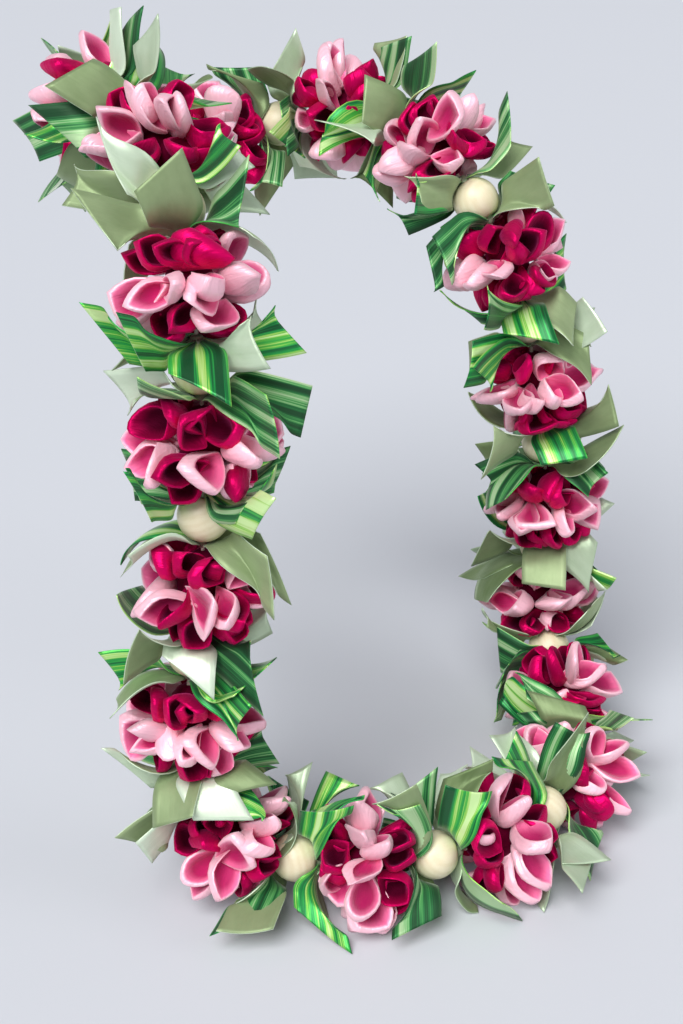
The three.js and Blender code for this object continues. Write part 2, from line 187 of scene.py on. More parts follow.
BEAD_RADIUS = 0.0115
BEAD_BORE_RADIUS = 0.0045
BEAD_EDGE = 0.0007
BEAD_SIDES = 36
BEAD_ARC_STEPS = 14

STRAND_RADIUS = 0.00052
STRAND_LAY = 0.9              # how far out the strands lie, in radii of a strand
STRAND_PITCH = 0.005
STRAND_STEPS = 6              # points of a strand for each turn
STRANDS = 3
CORD_HALF_STEP = 0.002        # the cord's direction is taken over this much on both sides

CLEAR_OF_BEAD = 0.0011
CLEAR_OF_BLOOM = 0.001
CLEAR_OF_MIDDLE = 0.0014
CLEAR_OF_SURFACE = 0.0006
BENDING_PASSES = 8            # enough for a leaf to settle between bead, blooms and surface

CAMERA_PLACE = Vector((-0.496, -0.583, 0.166))
CAMERA_HEADING = Vector((0.682, 0.731, 0))
CAMERA_PITCH = math.radians(25.5)      # down
CAMERA_LENS = 55.9
CAMERA_SENSOR = 36.0
LIT_PLACE = Vector((0, -0.05, -0.15))
FLOOR_HALF_SIZE = 60.0
FLOOR_DROP = 0.0002           # under the surface that the lowest bend lies on

# --- the loop -----------------------------------------------------------------------------

UNITS = len(ROUTE)
STEPS_PER_UNIT = 100
POINTS = [Vector((x, y, height + SURFACE)) for x, y, height in ROUTE]


def tangent_at(i):
    """The route's direction and pace at one of its points."""
    before = POINTS[i - 1]
    after = POINTS[(i + 1) % UNITS]
    reach = ((POINTS[i] - before).length + (POINTS[i] - after).length) / 2
    return (after - before).normalized() * reach


TANGENTS = [tangent_at(i) for i in range(UNITS)]


def on_loop(t):
    """The point of the closed route at share t of its units."""
    place = t % 1.0 * UNITS
    i = int(place) % UNITS
    j = (i + 1) % UNITS
    w = place - int(place)
    point = POINTS[i] * (2 * w**3 - 3 * w**2 + 1) + TANGENTS[i] * (w**3 - 2 * w**2 + w)
    return point + POINTS[j] * (3 * w**2 - 2 * w**3) + TANGENTS[j] * (w**3 - w**2)


def lengths_along():
    """How far along the loop each of its small steps lies."""
    total = 0.0
    found = [0.0]
    last = on_loop(0)
    for step in range(1, UNITS * STEPS_PER_UNIT + 1):
        point = on_loop(step / (UNITS * STEPS_PER_UNIT))
        total += (point - last).length
        found.append(total)
        last = point
    return found


DISTANCES = lengths_along()
LOOP_LENGTH = DISTANCES[-1]


def point_along(distance):
    """The point of the loop at a distance along it."""
    wrapped = distance % LOOP_LENGTH
    low = 0
    high = len(DISTANCES) - 1
    while high - low > 1:
        middle = (low + high) // 2
        if DISTANCES[middle] <= wrapped:
            low = middle
        else:
            high = middle
    part = (wrapped - DISTANCES[low]) / (DISTANCES[high] - DISTANCES[low])
    return on_loop((low + part) / (len(DISTANCES) - 1))


def frame_at(distance, half_length):
    """A threaded piece's own frame: off the body, sideways, and along the cord."""
    before = point_along(distance - half_length)
    after = point_along(distance + half_length)
    origin = point_along(distance).lerp(before.lerp(after, 0.5), 0.5)
    along = (after - before).normalized()
    out = origin - BODY_CENTRE
    out = (out - along * out.dot(along)).normalized()
    side = along.cross(out)
    return Matrix.Translation(origin) @ Matrix((out, side, along)).transposed().to_4x4()


BLOOMS = [frame_at(DISTANCES[k * STEPS_PER_UNIT], CORE_HALF_LENGTH) for k in range(UNITS)]
GAPS = [
    frame_at((DISTANCES[k * STEPS_PER_UNIT] + DISTANCES[(k + 1) * STEPS_PER_UNIT]) / 2, SLEEVE_HALF_LENGTH)
    for k in range(UNITS)
]
BLOOMS_BACK = [bloom.inverted() for bloom in BLOOMS]
GAPS_BACK = [gap.inverted() for gap in GAPS]

# --- helpers ------------------------------------------------------------------------------


def draw(seed):
    """The same seed always gives the same number from 0 to 1.

    What callers add to a seed only keeps their draws apart.
    """
    value = math.sin(seed * 12.9898 + 4.1414) * 43758.5453
    return value - math.floor(value)


def between(seed, low, high):
    """A draw from low to high."""
    return low + (high - low) * draw(seed)


def smooth_step(value):
    """Goes smoothly from 0 to 1 as the value does, and stays there beyond."""
    w = min(max(value, 0.0), 1.0)
    return w * w * (3 - 2 * w)


def finish_piece(bm, name, materials, nodes):
    """Turns a bmesh into a piece that stands for the named nodes of the frame."""
    mesh = bpy.data.meshes.new(name)
    for face in bm.faces:
        face.smooth = True
    bm.to_mesh(mesh)
    bm.free()
    for material in materials:
        mesh.materials.append(material)
    piece = bpy.data.objects.new(name, mesh)
    bpy.context.scene.collection.objects.link(piece)
    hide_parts(*nodes)
    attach(piece, "root")
    return piece


def subdivide(piece, levels, keep_corners=False):
    """Rounds a piece with a subdivision surface."""
    modifier = piece.modifiers.new("smooth", "SUBSURF")
    modifier.levels = levels
    modifier.render_levels = levels
    if keep_corners:
        modifier.boundary_smooth = "PRESERVE_CORNERS"


def add_template(bm, template):
    """Copies a template mesh into bm and returns its new vertices and faces."""
    first_vert = len(bm.verts)
    first_face = len(bm.faces)
    bm.from_mesh(template)
    bm.verts.ensure_lookup_table()
    bm.faces.ensure_lookup_table()
    return bm.verts[first_vert:], bm.faces[first_face:]


def add_spun(bm, section, sides, closed=False):
    """Spins a section's points round the Z axis, and returns the vertices that each of them makes.

    The section runs upwards on the outside, and a point on the axis makes one vertex.
    """
    rings = []
    for point in section:
        turns = [2 * math.pi * k / sides for k in range(sides if point.x > 0 else 1)]
        ring = [bm.verts.new(Matrix.Rotation(turn, 3, "Z") @ point) for turn in turns]
        rings.append(ring if len(ring) == sides else ring * sides)
    for ring, following in zip(rings, rings[1:] + rings[:1] if closed else rings[1:]):
        for k in range(sides):
            corners = (ring[k - 1], ring[k], following[k], following[k - 1])
            bm.faces.new(tuple(dict.fromkeys(corners)))
    return rings


def put_in_order(bm):
    """Orders edges and faces by their vertices, because an extrusion makes them in any order."""
    bm.verts.index_update()
    for parts in (bm.edges, bm.faces):
        ordered = sorted(parts, key=lambda part: sorted(vert.index for vert in part.verts))
        rank = {part: i for i, part in enumerate(ordered)}
        parts.sort(key=rank.get)


# --- materials ----------------------------------------------------------------------------


class Shader:
    """A material's nodes, with short ways to add and join them."""

    def __init__(self, name):
        self.material = bpy.data.materials.new(name)
        self.material.use_nodes = True
        self.tree = self.material.node_tree
        self.surface = self.tree.nodes["Principled BSDF"]

    def node(self, kind, inputs=None, **settings):
        made = self.tree.nodes.new(kind)
        for key, value in settings.items():
            setattr(made, key, value)
        for key, value in (inputs or {}).items():
            self.feed(made.inputs[key], value)
        return made

    def feed(self, socket, value):
        """Joins another node's output to a socket, or sets a value on it."""
        if isinstance(value, bpy.types.NodeSocket):
            self.tree.links.new(value, socket)
        else:
            socket.default_value = value

    def attribute(self, name, output="Fac"):
        return self.node("ShaderNodeAttribute", attribute_name=name).outputs[output]

    def math(self, operation, first, second=0.5, third=0.5):
        inputs = {0: first, 1: second, 2: third}
        return self.node("ShaderNodeMath", inputs, operation=operation).outputs[0]

    def mix(self, factor, first, second, blend="MIX"):
        made = self.node("ShaderNodeMix", data_type="RGBA", blend_type=blend)
        self.feed(made.inputs["Factor"], factor)
        self.feed(made.inputs[6], first)
        self.feed(made.inputs[7], second)
        return made.outputs[2]

    def ramp(self, value, stops, interpolation="EASE"):
        made = self.node("ShaderNodeValToRGB", {"Fac": value})
        made.color_ramp.interpolation = interpolation
        elements = made.color_ramp.elements
        for i, (place, colour) in enumerate(stops):
            element = elements[i] if i < 2 else elements.new(place)
            element.position = place
            element.color = colour
        return made.outputs["Color"]

    def noise(self, vector, scale, detail=3.0, roughness=0.55):
        inputs = {"Vector": vector, "Scale": scale, "Detail": detail, "Roughness": roughness}
        return self.node("ShaderNodeTexNoise", inputs).outputs["Fac"]

    def scaled(self, vector, scale):
        return self.node("ShaderNodeMapping", {"Vector": vector, "Scale": scale}).outputs["Vector"]

    def bump(self, height, strength, distance):
        """Raises the surface by a height, at most by the distance in metres."""
        inputs = {"Height": height, "Strength": strength, "Distance": distance}
        raised = self.node("ShaderNodeBump", inputs).outputs["Normal"]
        self.feed(self.surface.inputs["Normal"], raised)

    def set(self, **values):
        """Sets the surface's own sockets, such as coat_weight for Coat Weight."""
        for name, value in values.items():
            self.feed(self.surface.inputs[name.replace("_", " ").title()], value)


def satin_weave(shader, uv, tightness):
    """Fine floats along the ribbon, with soft creases across them and gathers along it."""
    threads = shader.noise(shader.scaled(uv, (tightness, 6.0, 1.0)), 1.0, 2.0)
    creases = shader.noise(shader.scaled(uv, (3.2, 1.6, 1.0)), 1.0, 2.0)
    gathers = shader.noise(shader.scaled(uv, (11.0, 0.7, 1.0)), 1.0, 1.0)
    folds = shader.math("MULTIPLY_ADD", gathers, 0.8, creases)
    return shader.math("MULTIPLY_ADD", folds, 3.5, threads)


def set_satin(shader, colour, roughness, metallic, shine):
    """The ribbon's long floats draw its highlights out across it."""
    tangent = shader.node("ShaderNodeTangent", direction_type="UV_MAP", uv_map="ribbon")
    shader.set(base_color=colour, roughness=roughness, metallic=metallic, anisotropic=0.55)
    shader.set(tangent=tangent.outputs["Tangent"], specular_tint=shine)
    shader.set(sheen_weight=0.35, sheen_roughness=0.45, sheen_tint=shine)


def petal_satin(name, outside, hollow, deep, metallic, shine):
    """Dyed satin, with painted light in a petal's hollow: first the hollow colour, then painted shade deep
    in.
    """
    shader = Shader(name)
    uv = shader.node("ShaderNodeUVMap", uv_map="ribbon").outputs["UV"]
    # Painted light: the hollow colour goes on inside the cup, and the deep colour, painted shade, at its
    # bottom.
    colour = shader.ramp(shader.attribute("hollow"), ((0.0, outside), (0.42, hollow), (1.0, deep)))
    mottle = shader.noise(shader.scaled(uv, (1.4, 0.9, 1.0)), 1.0)
    lighter = shader.math("MULTIPLY_ADD", shader.attribute("tone"), 0.35, 0.78)
    lighter = shader.math("MULTIPLY_ADD", mottle, 0.22, lighter)
    colour = shader.mix(1.0, colour, lighter, "MULTIPLY")
    matt = shader.math("MULTIPLY_ADD", shader.attribute("hollow"), 0.35, 0.4)
    set_satin(shader, colour, matt, metallic, shine)
    shader.bump(satin_weave(shader, uv, 60.0), 0.3, 0.001)
    return shader.material


# hollow and deep are painted light: for pink a painted glow of reflected light then shade, for magenta
# shade.
PETAL_MAGENTA = petal_satin(
    "satin_magenta",
    outside=(0.52, 0.001, 0.082, 1),
    hollow=(0.24, 0.0, 0.034, 1),
    deep=(0.045, 0.0, 0.007, 1),
    metallic=0.55,
    shine=(1.0, 0.1, 0.4, 1),
)
PETAL_PINK = petal_satin(
    "satin_pale_pink",
    outside=(0.94, 0.53, 0.62, 1),
    hollow=(0.78, 0.14, 0.31, 1),
    deep=(0.42, 0.003, 0.10, 1),
    metallic=0.2,
    shine=(1.0, 0.9, 0.95, 1),
)


def leaf_satin(name, colour_of, roughness):
    """Ribbon whose UV map runs across it along u and down its length along v."""
    shader = Shader(name)
    uv = shader.node("ShaderNodeUVMap", uv_map="ribbon").outputs["UV"]
    set_satin(shader, colour_of(shader, uv), roughness, 0.35, (0.85, 1.0, 0.75, 1))
    shader.bump(satin_weave(shader, uv, 90.0), 0.15, 0.0005)
    return shader.material


def sage(pale, deep):
    """Plain ribbon, in a tone of its own for each leaf."""
    def colour_of(shader, uv):
        mottle = shader.noise(shader.scaled(uv, (2.0, 1.5, 1.0)), 1.5)
        mottle = shader.math("MULTIPLY", mottle, 0.45)
        toned = shader.math("MULTIPLY_ADD", shader.attribute("tone"), 0.55, mottle)
        return shader.ramp(toned, ((0.15, deep), (0.85, pale)), "LINEAR")
    return colour_of


def striped(shades, streak_share=0.36):
    """Lengthwise stripes of leaf green, which start elsewhere on each leaf."""
    def colour_of(shader, uv):
        streaks = shader.noise(shader.scaled(uv, (30.0, 0.6, 1.0)), 1.0, 2.0)
        bands = shader.noise(shader.scaled(uv, (5.4, 0.15, 1.0)), 1.0, 0.0)
        bands = shader.math("MULTIPLY", bands, 1.0 - streak_share)
        place = shader.math("MULTIPLY_ADD", streaks, streak_share, bands)
        return shader.ramp(place, shades, "LINEAR")
    return colour_of


LEAF_SAGE = leaf_satin("satin_sage", sage((0.72, 0.84, 0.66, 1), (0.32, 0.44, 0.26, 1)), 0.38)
LEAF_OLIVE = leaf_satin("satin_sage_back", sage((0.34, 0.43, 0.23, 1), (0.11, 0.17, 0.06, 1)), 0.5)
LEAF_STRIPED = leaf_satin("satin_striped", striped((
    (0.38, (0.001, 0.075, 0.022, 1)), (0.44, (0.004, 0.19, 0.045, 1)), (0.47, (0.012, 0.34, 0.06, 1)),
    (0.53, (0.08, 0.47, 0.06, 1)), (0.55, (0.33, 0.65, 0.10, 1)), (0.63, (0.62, 0.87, 0.38, 1)),
)), 0.34)
LEAF_STRIPED_BACK = leaf_satin("satin_striped_back", striped((
    (0.40, (0.004, 0.055, 0.018, 1)), (0.48, (0.012, 0.15, 0.04, 1)), (0.54, (0.09, 0.36, 0.10, 1)),
    (0.60, (0.40, 0.60, 0.32, 1)),
)), 0.5)


def turned_wood():
    """Pale wood: fine fibres along the bead and faint rings of growth across it."""
    shader = Shader("wood_pale")
    grain = shader.attribute("grain", "Vector")
    fibres = shader.noise(shader.scaled(grain, (900.0, 900.0, 60.0)), 1.0, 3.0)
    rings = shader.node("ShaderNodeTexWave", {
        "Vector": shader.scaled(grain, (1.0, 1.0, 0.25)), "Scale": 95.0, "Distortion": 3.0, "Detail": 2.0,
        "Detail Scale": 60.0,
    }, wave_type="RINGS", rings_direction="X").outputs["Fac"]
    place = shader.math("MULTIPLY_ADD", rings, 0.35, shader.math("MULTIPLY", fibres, 0.65))
    shades = ((0.1, (0.75, 0.65, 0.42, 1)), (0.7, (0.83, 0.75, 0.53, 1)))
    shader.set(base_color=shader.ramp(place, shades, "LINEAR"), roughness=0.42)
    shader.set(coat_weight=0.15, coat_roughness=0.35)
    shader.bump(fibres, 0.08, 0.0002)
    return shader.material


def cord_fibre():
    """Undyed fibres, with painted shade between them where their bump sinks."""
    shader = Shader("cord_cream")
    place = shader.node("ShaderNodeTexCoord").outputs["Object"]
    fibres = shader.noise(place, 2500.0)
    shades = ((0.3, (0.55, 0.50, 0.38, 1)), (0.7, (0.84, 0.80, 0.70, 1)))
    shader.set(base_color=shader.ramp(fibres, shades), roughness=0.85)
    shader.bump(fibres, 0.3, 0.0002)
    return shader.material


BEAD_WOOD = turned_wood()
CORD_FIBRE = cord_fibre()

# --- blooms -------------------------------------------------------------------------------


def new_petals():
    """An empty bmesh with all that a petal's mesh carries."""
    bm = bmesh.new()
    bm.verts.layers.float.new("hollow")
    bm.verts.layers.float.new("tone")
    bm.edges.layers.float.new("crease_edge")
    bm.loops.layers.uv.new("ribbon")
    return bm


def crease_side(bm, side):
    """Folds the cup sharply along one of its sides, which stands out a little there."""
    crease = bm.edges.layers.float["crease_edge"]
    turn = 2 * math.pi * side / CUP_SIDES
    outwards = Vector((math.cos(turn), math.sin(turn)))
    folded = {
        vert for vert in bm.verts
        if vert.co.xy.length > 0.5 and vert.co.xy.normalized().dot(outwards) > 0.999
    }
    for edge in bm.edges:
        if set(edge.verts) <= folded:
            edge[crease] = FOLD_SHARPNESS
    for vert in folded:
        vert.co.x *= FOLD_STANDS_OUT
        vert.co.y *= FOLD_STANDS_OUT


def cup_template(folded_sides):
    """A round cup of radius 1 and height 1, spun from its section, and creased at its folds."""
    bm = new_petals()
    hollow = bm.verts.layers.float["hollow"]
    rings = add_spun(bm, [Vector((reach, 0, height)) for reach, height, _ in CUP_SECTION], CUP_SIDES)
    # The hollow attribute masks the painted glow and painted shade inside the cup.
    for ring, (_, _, inside) in zip(rings, CUP_SECTION):
        for vert in ring:
            vert[hollow] = inside
    for side in folded_sides:
        crease_side(bm, side)
    mesh = bpy.data.meshes.new("cup")
    bm.to_mesh(mesh)
    bm.free()
    return mesh


def outline_of_cup():
    """Points on the rim and the belly of the outer part of the round cup."""
    turns = [math.radians(50 * k) for k in range(-2, 3)]
    rim = [Vector((math.cos(turn), math.sin(turn), 0.85)) for turn in turns]
    belly = [Vector((0.9 * math.cos(turn), 0.9 * math.sin(turn), 0.3)) for turn in turns]
    return rim + belly


CUPS = [cup_template(fold["sides"]) for fold in FOLDS]
CUP_OUTLINE = outline_of_cup()


def pick_fold(value):
    """The way of folding that a draw from 0 to 1 falls on."""
    for kind, fold in enumerate(FOLDS):
        value -= fold["share"]
        if value < 0:
            return kind
    return 0


def reach_in_bloom(start, direction):
    """How far a ray goes inside the bloom's outline."""
    squash = Vector((1 / PETAL_TIPS_REACH, 1 / PETAL_TIPS_REACH, 1 / PETAL_TIPS_HALF_LENGTH))
    origin = start * squash
    step = direction * squash
    a = step.length_squared
    b = origin.dot(step)
    return (-b + math.sqrt(b * b - a * (origin.length_squared - 1))) / a


def keep_in_bloom(point):
    """Brings a point that is outside the bloom's outline back on to it."""
    across = math.hypot(point.x, point.y) / PETAL_TIPS_REACH
    level = math.hypot(across, point.z / PETAL_TIPS_HALF_LENGTH)
    return point / level if level > 1 else point


def settle_petal(point, unit):
    """Bends a petal's point clear of the leaves' roots on both sides and of the surface."""
    ruff_end = SLEEVE_LEAF_PLACE + RUFF_THICKNESS
    for gap, side in ((unit - 1, 1), (unit, -1)):
        local = GAPS_BACK[gap] @ point
        if math.hypot(local.x, local.y) < RUFF_REACH and side * local.z < ruff_end:
            local.z = side * ruff_end
            point = GAPS[gap] @ local
    point.z = max(point.z, SURFACE)
    return point


def shape_cup(point, length, width, narrowing, seed):
    """Gives a point of the round cup its place in a folded petal that grows along X.

    The ribbon's sides roll together at the root and open to a slanted mouth at the tip.
    """
    lengthwise = max(point.x + 1, 0.0) / 2
    upper = smooth_step((point.z - RIM_FROM) / RIM_OVER)
    toward_tip = smooth_step((lengthwise - 0.5) / 0.5)
    is_tube = draw(seed + 0.1) < SHARE_OF_TUBES
    apart = between(seed, *CUP_DRAW["tube_opens" if is_tube else "opens"])
    rolled = between(seed + 0.15, *CUP_DRAW["rolled"]) * (1 - smooth_step(lengthwise / apart))
    taper = CUP_ROOT_SHARE + (1 - CUP_ROOT_SHARE) * lengthwise**CUP_TAPER_POWER
    across = width / 2 * point.y * taper * (1 - narrowing * toward_tip) * (1 - rolled * upper)
    across += width * between(seed + 0.3, *CUP_DRAW["tip_sway"]) * lengthwise**2
    across += width * between(seed + 0.4, *CUP_DRAW["rim_sway"]) * upper
    lowered = 1 - between(seed + 0.5, *CUP_DRAW["lowered"]) * lengthwise**1.5
    keel = between(seed + 0.7, *CUP_DRAW["keel"]) * abs(point.y) * (1 - upper)
    height = (point.z + keel) * lowered - CUP_SUNK + CUP_TIP_LIFT * lengthwise**2
    height += between(seed + 0.8, *CUP_DRAW["tipped"]) * point.y * upper
    crease = CREASE_HEIGHT * math.sin(CREASE_WAVES.dot(point) + seed)
    return Vector((length * lengthwise, across + crease, PETAL_DEPTH * height + crease))


def petal_frame(row, place, showing, seed, added):
    """Root, axes and length of one petal, whose hollow leans towards a direction of the bloom."""
    kind = ADDED_PETALS if added else FIRST_PETALS
    turn = 2 * math.pi * (place + row["stagger"] + between(seed, *PETAL_DRAW["place"])) / row["count"]
    radial = Vector((math.cos(turn), math.sin(turn), 0))
    around = Vector((-math.sin(turn), math.cos(turn), 0))
    flatter = between(seed + 7, *kind["flatter"])
    lean = flatter * between(seed + 1, *PETAL_DRAW["lean"]) * (-1 if draw(seed + 2) < 0.5 else 1)
    tilt = TILT_FLATTER * flatter * (row["tilt"] + between(seed + 3, *PETAL_DRAW["tilt"]))
    axis = radial * math.cos(lean) * math.cos(tilt) + around * math.sin(lean)
    axis = (axis + Vector((0, 0, math.sin(tilt)))).normalized()
    root = radial * between(seed + 9, *kind["root"]) + Vector((0, 0, row["along"]))
    length = min(reach_in_bloom(root, axis), PETAL_LONGEST) * between(seed + 4, *PETAL_DRAW["reach"])
    opening = radial + around * between(seed + 5, *PETAL_DRAW["opening"]) + showing
    opening = (opening - axis * opening.dot(axis)).normalized()
    if added and draw(seed + 13) < SHARE_OF_BACKS:
        opening = Quaternion(axis, between(seed + 14, *PETAL_DRAW["back"])) @ opening
    turned = Matrix((axis, opening.cross(axis), opening)).transposed()
    return root, turned, length


class Petal:
    """A petal in its bloom's own frame: how it lies, how it is folded and where it is hollow."""

    def __init__(self, row, place, showing, seed, added):
        self.root, self.turned, self.length = petal_frame(row, place, showing, seed, added)
        self.kind = pick_fold(draw(seed + 15))
        self.width = PETAL_WIDTH * between(seed + 6, *PETAL_DRAW["width"])
        self.narrowing = between(seed + 16, *FOLDS[self.kind]["narrowing"])
        self.seed = seed
        self.middle = self.root + self.turned.col[0] * self.length * PETAL_MIDDLE
        self.outline = [self.shaped(point) for point in CUP_OUTLINE]
        self.floor = [self.floor_at((i + 0.5) / HOLLOW_STATIONS) for i in range(HOLLOW_STATIONS)]
        self.verts = []

    def shaped(self, point):
        """The place in the bloom of a point of the round cup."""
        cup = shape_cup(point, self.length, self.width, self.narrowing, self.seed + 12)
        return self.root + self.turned @ cup

    def floor_at(self, share):
        """Middle, half width and height of the hollow at a share of the petal's length."""
        x = 2 * share - 1
        y = HOLLOW_HALF_WIDTH * math.sqrt(1 - x * x)
        height = CUP_SECTION[-1][1]
        middle = (self.shaped(Vector((x, 0, height))) - self.root) @ self.turned
        side = (self.shaped(Vector((x, y, height))) - self.root) @ self.turned
        return middle.y, abs(side.y - middle.y), middle.z

    def over_floor(self, point):
        """How far a point lies over the floor of the hollow, or None beside it."""
        local = (point - self.root) @ self.turned
        station = math.floor(local.x / self.length * HOLLOW_STATIONS)
        if not 0 <= station < HOLLOW_STATIONS:
            return None
        middle, half_width, height = self.floor[station]
        return local.z - height if abs(local.y - middle) < half_width else None

    def clashes_with(self, other):
        """How many points of each petal's outline stand in the other's hollow."""
        heights = [self.over_floor(point) for point in other.outline]
        heights += [other.over_floor(point) for point in self.outline]
        return sum(1 for height in heights if height is not None and 0 < height < PETAL_DEPTH)

    def room_among(self, petals):
        """Distance to the nearest of the petals, less what the clashes with all of them cost."""
        room = min([self.middle.length, *((self.middle - other.middle).length for other in petals)])
        return room - CLASH_COST * sum(self.clashes_with(other) for other in petals)

    def tuck_under(self, other):
        """Hides the part that stands a little over the other's floor under it."""
        standing = []
        for vert in self.verts:
            height = other.over_floor(vert.co)
            if height is not None and 0 < height < PETAL_DEPTH:
                standing.append((vert, height))
        if all(height < TUCK_REACH * PETAL_DEPTH for _, height in standing):
            for vert, height in standing:
                vert.co -= other.turned.col[2] * (height + TUCK_UNDER * PETAL_DEPTH)

    def add_to(self, bm):
        """Adds the petal's mesh, which is still in the bloom's own frame."""
        self.verts, faces = add_template(bm, CUPS[self.kind])
        tone = bm.verts.layers.float["tone"]
        uv = bm.loops.layers.uv["ribbon"]
        shade = draw(self.seed + 11)
        for face in faces:
            for loop in face.loops:
                loop[uv].uv = (loop.vert.co.y / 2, loop.vert.co.x * self.length / self.width / 2)
        for vert in self.verts:
            vert.co = self.shaped(vert.co)
            vert[tone] = shade


def roomiest_petal(row, place, showing, seed, added, petals):
    """Of a few draws, the petal that stands clearest of those already in the bloom."""
    tries = [Petal(row, place, showing, seed + 50 * k, added) for k in range(PETAL_TRIES)]
    return max(tries, key=lambda petal: petal.room_among(petals))


def add_core(bm, unit):
    """The gathered middle that the petals grow from."""
    made = bmesh.ops.create_icosphere(bm, subdivisions=2, radius=1.0)
    hollow = bm.verts.layers.float["hollow"]
    size = Matrix.Diagonal((CORE_RADIUS, CORE_RADIUS, GATHERED_HALF_LENGTH, 1))
    for vert in made["verts"]:
        # Painted shade: the core takes the dark colour of a petal's hollow, as it lies deep between the
        # petals.
        vert[hollow] = 0.8
        vert.co = settle_petal(BLOOMS[unit] @ (size @ vert.co), unit)


def place_petals(unit):
    """All petals of a bloom, and for each whether it is pink."""
    outward = BLOOMS[unit].translation * Vector((1, 1, 0))
    showing = outward.normalized() + Vector((0, 0, SHOW_UPWARDS))
    showing = BLOOMS_BACK[unit].to_3x3() @ showing * PETALS_SHOW
    petals = []
    colours = []
    for r, row in enumerate(PETAL_ROWS):
        for i in range(PETALS_PER_PLACE * row["count"]):
            which = i % PETALS_PER_PLACE
            seed = unit * 1000 + r * 100 + i // PETALS_PER_PLACE * 10 + which * 0.37
            place = i / PETALS_PER_PLACE
            petals.append(roomiest_petal(row, place, showing, seed, which > 0, petals))
            colours.append(row["pink"] != (draw(seed + 10) < STRAY_PETALS))
    return petals, colours


def make_bloom(unit):
    """Both colours of petals of one bloom, each in a piece of its own."""
    number = "%02d" % (unit + 1)
    pieces = {True: new_petals(), False: new_petals()}
    add_core(pieces[False], unit)
    petals, colours = place_petals(unit)
    for petal, pink in zip(petals, colours):
        petal.add_to(pieces[pink])
    for petal in petals:
        for other in petals:
            if other is not petal:
                petal.tuck_under(other)
    for petal in petals:
        for vert in petal.verts:
            vert.co = settle_petal(BLOOMS[unit] @ keep_in_bloom(vert.co), unit)
    for pink, material, name in ((False, PETAL_MAGENTA, "magenta"), (True, PETAL_PINK, "pink")):
        name = "petals_%s_%s" % (name, number)
        piece = finish_piece(pieces[pink], name, [material], ["bloom_" + number])
        subdivide(piece, 1)


# --- ribbon leaves ------------------------------------------------------------------------


def bend_clear(point, unit, share):
    """Bends a leaf's point clear of the bead, of both blooms and of the surface."""
    gap_origin = GAPS[unit].translation
    tips = smooth_step(share / LEAF_CLEARS_PETALS)
    reach = BLOOM_REACH * (1 - tips) + PETAL_TIPS_REACH * tips + CLEAR_OF_BLOOM
    half_length = BLOOM_HALF_LENGTH * (1 - tips) + PETAL_TIPS_HALF_LENGTH * tips + CLEAR_OF_BLOOM
    for _ in range(BENDING_PASSES):
        from_bead = point - gap_origin
        if from_bead.length < BEAD_RADIUS + CLEAR_OF_BEAD:
            point = gap_origin + from_bead.normalized() * (BEAD_RADIUS + CLEAR_OF_BEAD)
        for k, side in ((unit, 1), ((unit + 1) % UNITS, -1)):
            local = BLOOMS_BACK[k] @ point
            local.z = side * max(side * local.z, CLEAR_OF_MIDDLE)
            level = math.hypot(math.hypot(local.x, local.y) / reach, local.z / half_length)
            if level < 1:
                local /= level
            point = BLOOMS[k] @ local
        point.z = max(point.z, SURFACE + CLEAR_OF_SURFACE)
    return point


def bezier(start, bend, end, t):
    """The point at share t of a way that bends once."""
    return start * (1 - t) ** 2 + bend * (2 * t * (1 - t)) + end * t**2


def front_turn(unit):
    """Direction round the cord in which a gap faces the viewer."""
    front = GAPS_BACK[unit].to_3x3() @ SEEN_FROM
    return math.atan2(front.y, front.x)


def hides_bead(unit, end):
    """Whether a leaf at this end of a gap, the one nearer to the viewer, lies over its bead."""
    return GAPS[unit].col[2].xyz.dot(SEEN_FROM) * end > 0 and unit + 1 not in BEADS_IN_VIEW


def lay_front_leaf(unit, end, turn, turn_over, seed):
    """A leaf that would point at the viewer lies over its bead, or turns aside from it."""
    off_front = (turn - front_turn(unit) + math.pi) % (2 * math.pi) - math.pi
    if hides_bead(unit, end):
        if abs(off_front) < FRONT_HALF_ANGLE:
            turn_over = between(seed + 16, *LEAF_DRAW["bead_over"])
    elif abs(off_front) < PARTED_ANGLE:
        turn += math.copysign(PARTED_ANGLE, off_front) - off_front * PARTED_SHARE
        turn_over = between(seed + 16, *LEAF_DRAW["aside_over"])
    return turn, turn_over


def leaf_turns(unit, end, place, seed, added):
    """How a leaf is turned round the cord, and how far it turns over along it, in radians."""
    first = front_turn(unit) if hides_bead(unit, end) else -RUFF_SWIRL * end
    places = LEAVES_IN_RUFF[end]
    turn = first + 2 * math.pi * (place + between(seed, *LEAF_DRAW["place"])) / places
    turn_over = between(seed + 2, *LEAF_DRAW["added_over" if added else "over"])
    return lay_front_leaf(unit, end, turn, turn_over, seed)


